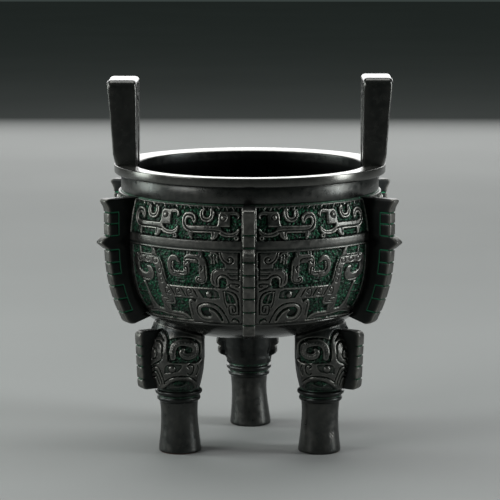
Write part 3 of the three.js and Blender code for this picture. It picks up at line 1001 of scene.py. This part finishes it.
def handle(name, angle, top, material):
    outer = u_outline(HANDLE_HALF, top, HANDLE_CORNER)[:, :, None]
    inner = u_outline(HANDLE_HALF - HANDLE_POST, top - HANDLE_BAR, HANDLE_CORNER - 0.5)[:, :, None]
    width = np.linalg.norm(outer - inner, axis=1)
    outward, more_outward, through, more_through = beam_section(2.0).T
    # The edges are rubbed rounder towards the top.
    high = np.clip((outer[:, 1] - LIP_OUTER_TOP) / (top - LIP_OUTER_TOP), 0, 1)
    rounding = 0.7 + 0.7 * high**5
    share = outward + rounding * more_outward / width
    y, z = (inner[:, way] + (outer - inner)[:, way] * share for way in (0, 1))
    rise = np.clip((z - LIP_OUTER_TOP) / (top - LIP_OUTER_TOP), 0, 1)
    thickness = HANDLE_THICKNESS + HANDLE_THICKENING * rise
    # The foot of the handle follows the round of the lip, and draws in a little under the bar.
    rim = 84.7 + 8 * np.clip((z - LIP_OUTER_TOP) / 24, 0, 1.2)
    face = np.minimum(HANDLE_FACE + thickness, np.sqrt(rim**2 - y**2))
    thickness = face - HANDLE_FACE - 0.35 * np.sin(math.pi * rise)
    x = HANDLE_FACE + thickness * through + rounding * more_through
    on_edge = np.abs(more_outward) + np.abs(more_through) > 0.2
    rubbed = np.broadcast_to(0.1 + 0.05 * on_edge, z.shape)
    fields = {"worn": rubbed, "polish": 0.5 + rubbed}
    closed_tube(name, turned(np.stack([x, y, z], -1), angle), fields, material)


# --- Legs ---

MASK_HALF = 40.0
MASK_LOW = 41.0
MASK_RADIUS = 20.5
COLUMN_ROWS = np.concatenate([
    (0.001, 0.12, 0.35, 0.6, 0.9, 1.4, 2.2, 3.4), np.arange(5, 8, 1.5), np.arange(9, 15.6, 0.5),
    np.arange(17, 31, 1.8), np.arange(31.4, MASK_LOW, 0.27),
])
TURNED_RINGS = (34.3, 38.5)
# A small pitted patch on a leg: how far round from its outer side in radians, its level and its size.
CHIPS = {"leg_right": (-0.4, 12.3, 1.7), "leg_back": (3.1, 25, 0.8)}


def draw_mask_ear(relief):
    relief.cut_band(
        [
            (3, 78.2), (9, 78.8), (13.4, 76.9), (15.7, 73), (15.8, 66), (16.4, 61.9), (19.4, 60.3),
            (27, 60.3), (34, 60.4), (38, 63.2),
        ],
        (0.6, 0.7, 0.8, 0.8, 0.7, 0.75, 0.6, 0.6, 0.8, 0.9), -1.3, green=0.45,
    )
    for line in (
        [
            (4.6, 72.4), (8.6, 72.4), (11.2, 70.8), (11.8, 68), (11.7, 63), (10.2, 60.6), (7, 59),
            (3.6, 56.8),
        ],
        [(4.8, 75.2), (8.4, 75.2), (11.7, 73.4)],
        [(4.2, 68), (6.6, 67.5), (7.9, 65), (7, 62.4), (4.2, 61.2)],
        [(3.2, 55.4), (6.2, 57), (9.3, 56.4), (10.7, 53), (11.9, 48.6), (11.8, 45.6)],
        [(3.4, 52.4), (6.3, 54), (8.5, 52.6), (9.6, 49.5), (10, 45.6)],
        [(3.8, 49.8), (6.3, 50.4), (7.4, 48), (7.6, 45.2)],
    ):
        relief.cut_band(line, 0.42, -1.0, green=0.3)


def draw_mask_horn(relief):
    field = [
        (15.6, 61), (15.4, 72), (17.6, 74.6), (23, 75.8), (29, 75.6), (34, 73.6), (36.6, 70), (36.6, 64),
        (34.6, 61),
    ]
    relief.cut_area(field, -1.2, green=0.85)
    horn = [
        (18.9, 63.2), (18.6, 67.3), (20, 70.9), (23.6, 72.7), (28, 72.4), (31.9, 70.6), (33.1, 67.6),
        (31.8, 64.9), (28.5, 63.9), (25.6, 64.5), (24.2, 66.6), (25.4, 68.4),
    ]
    relief.raise_band(horn, (1.6, 2, 2.1, 2, 2.1, 2.2, 2.2, 2.2, 2.1, 1.9, 1.5, 0.9), 0.05)
    # Beading along the horn.
    for x, y in smooth_path(horn, 5)[2:-6:2]:
        relief.dome((x, y), 0.62, 0.4)


def draw_mask_face(relief):
    almond = [
        (13.4, 53.2), (13.7, 56.2), (15.3, 58.2), (18, 58.9), (21.6, 58.8), (24, 58.4), (23.4, 56.2),
        (21.6, 54.7), (17.4, 54),
    ]
    relief.cut_area(almond, -0.45, 0.4, 0.3)
    relief.cut_bands(
        ([*almond, almond[0]], 0.26, -0.75, 0.3),
        (dot(18.2, 56.1), 2.5, -1.0, 0.2),
    )
    relief.dome((18.2, 56.1), 2.3, 1.9)
    for line in (
        [
            (28.8, 56.6), (28, 57.6), (28.9, 58.8), (31, 58.2), (32, 55.9), (31.2, 53), (29.2, 52),
            (28.2, 53),
        ],
        [(34.4, 57.6), (35.4, 55), (34.4, 51.6)],
        [(12.6, 47.6), (18, 50.4), (23, 51.3), (28, 51), (32, 49.4), (36, 47)],
    ):
        relief.cut_band(line, 0.4, -0.9, green=0.3)
    mouth = [
        (12, 43.6), (15, 45.6), (18, 47.4), (22, 48.4), (26, 48.3), (30, 47.4), (34, 45.4), (35, 41.6),
        (11, 41.6),
    ]
    relief.cut_area(mouth, -0.7, 0.5, 0)
    lens = [(17, 46.4), (19.4, 47.8), (22.4, 48.2), (25.6, 47.6), (28, 46.4), (24.6, 44.8), (20, 44.6)]
    relief.cut_area(lens, -1.6, green=1.0)
    arch = [
        (8, 42.6), (11.6, 44.6), (15, 46.8), (18.6, 48.8), (22, 49.7), (26, 49.7), (30, 48.8), (33.8, 46.8),
        (37.6, 44.6),
    ]
    relief.raise_bands(
        ([(15.6, 43.6), (19.4, 43.8), (24.6, 44), (28.8, 45.4)], 0.4, -0.3),
        (arch, (0.5, 0.7, 0.75, 0.75, 0.75, 0.75, 0.75, 0.7, 0.5), 0.35),
    )


def leg_relief():
    relief = Relief((0, MASK_HALF + 4), (40, 88))
    draw_mask_horn(relief)
    draw_mask_ear(relief)
    draw_mask_face(relief)
    relief.finish(seed=23)
    return relief


def mask_radius(turn, level, lobed):
    """The mask's outside round the leg's own axis: deepest outwards, flattest at the sides."""
    levels = (41, 43, 46, 50.5, 57, 66, 72, 75.7, 77.3, 81.6, 86, 90)
    out = np.interp(level, levels, (16.4, 18, 19, 20.2, 21.4, 21, 18.8, 16.6, 16, 14.4, 12.2, 10.6))
    side = np.interp(level, levels, (14.8, 15.8, 17, 19.6, 21.2, 21.8, 22, 20.8, 20, 17.6, 14.6, 12))
    inner_levels = (41, 43, 46, 50.5, 57, 66, 75, 78)
    inner = np.interp(level, inner_levels, (13.8, 14.6, 15.4, 16.4, 17, 17.4, 17.8, 18))
    if lobed:
        # The back leg's mask ends at the sides in stepped lobes.
        steps = (41, 43.2, 45, 45.8, 46.3, 46.9, 48, 50, 51.6, 52.3, 52.8, 53.4, 55, 57.4, 66, 78, 90)
        lobes = (
            14.9, 15, 15.1, 15.6, 17, 18.4, 19.2, 19.6, 19.5, 18.8, 19.3, 20.3, 20.6, 20.3, 20.4, 20.6, 20,
        )
        side = np.interp(level, steps, lobes)
    deep = np.where(np.cos(turn) > 0, out, inner)
    return 1 / np.sqrt((np.cos(turn) / deep) ** 2 + (np.sin(turn) / side) ** 2)


def column_radius(level):
    levels = (
        0, 0.5, 1.2, 3, 8, 14, 20, 26, 31, 32.2, 32.7, 33.4, 34.3, 35.2, 35.9, 36.3, 36.8, 37.6, 38.5,
        39.4, 40, 40.6, 42, 46, 52, 60, 72, 79, 84, 90,
    )
    radii = (
        12.7, 13.2, 13.4, 13.2, 12.6, 11.95, 11.55, 11.5, 11.85, 12.0, 12.6, 13.35, 13.6, 13.35, 12.7,
        12.7, 13.6, 14.5, 14.8, 14.5, 13.5, 13.2, 13.6, 14.6, 15.7, 16.4, 16.4, 15, 12.6, 10.6,
    )
    return np.interp(level, levels, radii)


def mask_edge(level):
    """How far round the leg the mask reaches, in radians: its lobes end at a step."""
    levels = (41, 45, 50, 55, 56.5, 58.5, 61, 62.8, 64.5, 68, 74, 80, 90)
    degrees = (120, 112, 106, 106, 110, 114, 113, 103, 106, 112, 114, 112, 110)
    return np.radians(np.interp(level, levels, degrees))


def leg_grid(foot_radius, lobed):
    """The angle and level of each point of a leg's rings, and the level where it meets the bowl."""
    fine = np.arange(-MASK_HALF, MASK_HALF, 0.44) / MASK_RADIUS
    coarse = np.linspace(fine[-1], fine[0] + 2 * math.pi, 26)[1:-1]
    turn = np.concatenate([fine, coarse])
    # Each column of the mask runs up to the underside of the bowl.
    top = np.full(len(turn), 80.0)
    for _ in range(4):
        radius = mask_radius(turn, top, lobed)
        away, aside = foot_radius + 0.8 + radius * np.cos(turn), radius * np.sin(turn)
        top = wall_level(np.hypot(away, aside)) + 1.6
    level = np.vstack([
        np.repeat(COLUMN_ROWS[:, None], len(turn), axis=1),
        MASK_LOW + np.linspace(0, 1, 108)[:, None] * (top - MASK_LOW),
    ])
    return np.broadcast_to(turn, level.shape), level, top


def chip_cover(name, turn, level):
    """How much of the leg's surface the chip takes away, from 0 to 1."""
    if name not in CHIPS:
        return 0
    chip_turn, chip_level, size = CHIPS[name]
    aside = 12.5 * np.arccos(np.cos(turn - chip_turn))
    return np.exp(-((aside / size) ** 2) - ((level - chip_level) / (1.3 * size)) ** 2)


def leg(name, foot, relief, material):
    """A leg with its mask, standing on its foot and closed inside the bowl's wall."""
    foot_radius = math.hypot(foot[0], foot[1]) / MM
    lobed = name == "leg_back"
    turn, level, top = leg_grid(foot_radius, lobed)
    across = np.abs(turn) * MASK_RADIUS
    height, green, worn, painted_shade_and_dark_tone = (
        relief.sample(field, across, level)
        for field in (relief.height, relief.green, relief.worn, relief.painted_shade_and_dark_tone)
    )

    plain = column_radius(level)
    beyond = smoothstep((mask_edge(level) - np.abs(turn)) / math.radians(7) + 0.5)
    swell = smoothstep((level - MASK_LOW + 0.4) / 1.2)
    on_mask = swell * smoothstep((MASK_HALF - 1.5 - across) / 1.5)
    bead = bell(top - 2.6 - level, 0.5)  # along the joint with the bowl
    chip = chip_cover(name, turn, level)
    pits = 0.5 + np.sin(37 * turn) * np.sin(2.9 * level)
    radius = plain + (np.maximum(mask_radius(turn, level, lobed), plain) - plain) * beyond * swell
    radius = radius + height * on_mask + 0.3 * bead - 0.35 * chip * pits
    lean = foot_radius + 0.9 * smoothstep(level / 46) - 0.1
    # The back leg's mask stands a little askew on its foot.
    askew = lobed * (smoothstep(level / 30) + 0.9 * smoothstep((level - 44) / 3))
    rings = round_axis(radius, turn, level, (lean, askew))

    # The seams over and under the upper ring are green, and both rings are dark.
    seams = bell(level - 36.1, 0.35) + bell(level - 40.9, 0.5)
    dark_rings = bell(level - TURNED_RINGS[1], 0.7) + bell(level - TURNED_RINGS[0], 0.6)
    column = smoothstep((33 - level) / 2)
    worn = 0.75 * worn * on_mask * smoothstep((78 - level) / 3) + 0.2 * bead + 0.06 * column + 0.2 * chip
    # Bare copper shows along a part of the foot's worn edge.
    copper = 0.7 * smoothstep((0.75 - level) / 0.5) * smoothstep(np.cos(turn - 0.9))
    fields = {
        "green": np.clip(0.6 * green * on_mask + 0.5 * seams, 0, 1),
        "worn": np.clip(worn, 0, 1),
        # painted shade in the mask's corners and cuts, with the rings' darker tone
        "painted_shade_and_dark_tone": np.clip(painted_shade_and_dark_tone * on_mask + 0.35 * dark_rings, 0, 1),
        "copper": copper,
    }
    closed_tube(name, turned(rings, math.atan2(foot[1], foot[0])), fields, material)


LEG_NOTCHES = (48.8, 56.8, 63.5, 69.7)
LEG_FLANGE_LOW = 42.0
LEG_FLANGE_HIGH = 78.8
LEG_FLANGE_CORNER = 3.4
LEG_FLANGE_HALF = 3.5
LEG_FLANGE_ROOT = 60.0


def leg_flange(name, foot, material):
    low, high = LEG_FLANGE_LOW + LEG_FLANGE_CORNER, LEG_FLANGE_HIGH - LEG_FLANGE_CORNER
    level = flange_stations(low, high, LEG_NOTCHES, 0.9)
    outer = np.interp(level, (LEG_FLANGE_LOW, LEG_FLANGE_HIGH), (78.6, 80.4))
    for angle in np.radians(np.linspace(0, 90, 7)[1:]):
        drop, back = LEG_FLANGE_CORNER * math.sin(angle), LEG_FLANGE_CORNER * (1 - math.cos(angle))
        level = np.concatenate([[low - drop], level, [high + drop]])
        outer = np.concatenate([[78.7 - back], outer, [80.3 - back]])
    profile = np.column_stack([outer, level, np.full(len(level), LEG_FLANGE_ROOT), level])
    angle = math.atan2(foot[1], foot[0])
    swept_plate(name, angle, profile, LEG_FLANGE_HALF, LEG_NOTCHES, 1.4, (0.12, 0.12), material)


# --- The bronze ---


class Nodes:
    """Short ways to add and join shader nodes."""

    def __init__(self, name):
        self.material = bpy.data.materials.new(name)
        self.material.use_nodes = True
        self.tree = self.material.node_tree
        self.tree.nodes.clear()
        self.place = self.add("ShaderNodeTexCoord").outputs["Object"]

    def add(self, kind, **inputs):
        node = self.tree.nodes.new(kind)
        for key, value in inputs.items():
            self.put(value, node.inputs[key.replace("_", " ")])
        return node

    def put(self, value, socket):
        if isinstance(value, bpy.types.NodeSocket):
            self.tree.links.new(value, socket)
        else:
            socket.default_value = value

    def field(self, key):
        node = self.add("ShaderNodeAttribute")
        node.attribute_name = key
        return node.outputs["Fac"]

    def math(self, kind, first, second, clamp=False):
        node = self.add("ShaderNodeMath")
        node.operation = kind
        node.use_clamp = clamp
        self.put(first, node.inputs[0])
        self.put(second, node.inputs[1])
        return node.outputs[0]

    def times(self, first, second, clamp=False):
        return self.math("MULTIPLY", first, second, clamp)

    def noise(self, scale, detail, rough=0.55):
        node = self.add("ShaderNodeTexNoise", Vector=self.place, Scale=scale, Detail=detail, Roughness=rough)
        return node.outputs["Fac"]

    def between(self, value, low, high, to_low=0.0, to_high=1.0):
        node = self.add("ShaderNodeMapRange")
        for index, item in enumerate((value, low, high, to_low, to_high)):
            self.put(item, node.inputs[index])
        return node.outputs[0]

    def mix(self, share, first, second):
        node = self.add("ShaderNodeMix")
        node.data_type = "RGBA"
        self.put(share, node.inputs["Factor"])
        self.put(first, node.inputs[6])
        self.put(second, node.inputs[7])
        return node.outputs[2]

    def surface(self, **inputs):
        """Joins a shader with these inputs to the output, and gives the material."""
        shader = self.add("ShaderNodeBsdfPrincipled", **inputs)
        self.add("ShaderNodeOutputMaterial", Surface=shader.outputs[0])
        return self.material


DARK_METAL = ((0.026, 0.029, 0.029, 1), (0.042, 0.044, 0.042, 1))
SPOT_METAL = (0.065, 0.062, 0.056, 1)
RUBBED_METAL = (0.37, 0.36, 0.33, 1)
VERDIGRIS = ((0.0004, 0.004, 0.002, 1), (0.012, 0.19, 0.085, 1))
PALE_VERDIGRIS = (0.05, 0.32, 0.17, 1)
BARE_COPPER = (0.22, 0.07, 0.035, 1)
# Near black, for painted shade and for the leg rings' darker tone.
PAINTED_SHADE_AND_DARK_TONE_COLOUR = (0.003, 0.0035, 0.0035, 1)


def bronze():
    nodes = Nodes("patinated_bronze")
    times, between, mix, field = nodes.times, nodes.between, nodes.mix, nodes.field
    mottle = nodes.noise(260.0, 4.0)

    calm = nodes.math("SUBTRACT", 1.0, field("polish"), clamp=True)
    colour = mix(between(nodes.noise(38.0, 4.0), 0.35, 0.68), *DARK_METAL)
    colour = mix(times(between(mottle, 0.5, 0.75, 0.0, 0.45), calm), colour, SPOT_METAL)
    plainer = nodes.math("MAXIMUM", between(mottle, 0.3, 0.6, 0.5, 1.0), field("polish"))
    colour = mix(times(field("worn"), plainer), colour, RUBBED_METAL)

    patchy = between(nodes.noise(420.0, 4.0), 0.3, 0.6, 0.55, 1.0)
    verdigris = times(field("green"), patchy, clamp=True)
    green = mix(between(nodes.noise(900.0, 4.0, 0.7), 0.42, 0.62), *VERDIGRIS)
    colour = mix(verdigris, colour, green)
    colour = mix(field("pale"), colour, PALE_VERDIGRIS)
    colour = mix(field("copper"), colour, BARE_COPPER)
    # Painted shade darkens the colour towards near black, as does the leg rings' darker tone.
    colour = mix(times(field("painted_shade_and_dark_tone"), 0.95), colour, PAINTED_SHADE_AND_DARK_TONE_COLOUR)

    rough = times(between(mottle, 0.3, 0.7, -0.06, 0.1), calm)
    for part in (0.32, times(verdigris, 0.35), times(field("painted_shade_and_dark_tone"), 0.2)):
        rough = nodes.math("ADD", rough, part)
    rough = nodes.math("SUBTRACT", rough, times(field("polish"), 0.12))
    metal = nodes.math("SUBTRACT", 0.9, times(verdigris, 0.7), clamp=True)

    specks = nodes.noise(1500.0, 3.0)
    fine = nodes.add("ShaderNodeBump", Height=specks, Strength=times(calm, 0.15), Distance=0.0002)
    bumpy = nodes.add(
        "ShaderNodeBump", Height=mottle, Strength=times(calm, 0.12), Distance=0.0009, Normal=fine.outputs[0],
    )
    return nodes.surface(
        Base_Color=colour, Metallic=metal, Roughness=rough, Specular_IOR_Level=0.2,
        Normal=bumpy.outputs[0],
    )


# --- Camera, floor and light ---


def make_camera():
    """A long lens about 1.4 m off, looking slightly down at the front of the vessel."""
    data = bpy.data.cameras.new("camera")
    data.lens = 164.6
    data.sensor_width = 36
    camera = placed("camera", data)
    camera.location = (0.0095, -1.427, 0.346)
    tilt_down, turn_left = math.radians(8.87), math.radians(0.38)
    camera.rotation_euler = (math.pi / 2 - tilt_down, 0, turn_left)
    bpy.context.scene.camera = camera


def make_floor():
    """A plain matte floor, which mirrors nothing."""
    size = 6
    mesh = bpy.data.meshes.new("floor")
    corners = [(-size, -size, 0), (size, -size, 0), (size, size, 0), (-size, size, 0)]
    mesh.from_pydata(corners, [], [(0, 1, 2, 3)])
    nodes = Nodes("pale_floor")
    tone = nodes.mix(nodes.noise(3.0, 2.0), (0.28, 0.286, 0.281, 1), (0.33, 0.336, 0.331, 1))
    mesh.materials.append(nodes.surface(Base_Color=tone, Roughness=0.5, Specular_IOR_Level=0))
    placed("floor", mesh)


def make_light(name, place, target, size, power, colour=(1, 1, 1)):
    data = bpy.data.lights.new(name, "AREA")
    data.shape = "RECTANGLE"
    data.size, data.size_y = size
    data.energy = power
    data.color = colour
    light = placed(name, data)
    light.location = place
    light.rotation_euler = (Vector(target) - Vector(place)).to_track_quat("-Z", "Y").to_euler()


def make_studio():
    scene = bpy.context.scene
    scene.view_settings.view_transform = "Standard"
    world = bpy.data.worlds.new("studio")
    world.use_nodes = True
    background = world.node_tree.nodes["Background"]
    background.inputs["Color"].default_value = (0.40, 0.52, 0.48, 1)
    background.inputs["Strength"].default_value = 0.10
    scene.world = world
    middle = (0, 0, 0.12)
    make_light("back_panel", (0, 1.9, 0.82), (0, 0, 0.3), (2.6, 1.3), 28)
    make_light("overhead", (0, 0.3, 1.6), middle, (1.2, 0.8), 11)
    make_light("left_strip", (-1.2, 0.2, 0.5), middle, (0.4, 1.0), 10, (0.93, 1, 0.97))
    make_light("right_strip", (1.15, -0.15, 0.5), middle, (0.3, 1.0), 11, (0.96, 0.99, 1))
    make_light("front_left", (-1.45, -0.85, 0.8), middle, (0.7, 0.7), 11)


def build():
    make_camera()
    metal = bronze()
    relief = bowl_relief()
    for number in range(6):
        frieze_tile(number, relief, metal)
        bowl_flange(number, metal)
    bowl_shell(metal)
    top = VESSEL_HIGH[2] / MM
    handle("handle_right", 0, top, metal)
    handle("handle_left", math.pi, top - 1.6, metal)
    mask = leg_relief()
    for foot_name, foot in FEET.items():
        side = foot_name.split("_")[1]
        leg(f"leg_{side}", foot, mask, metal)
        leg_flange(f"leg_flange_{side}", foot, metal)
    make_floor()
    make_studio()


build()
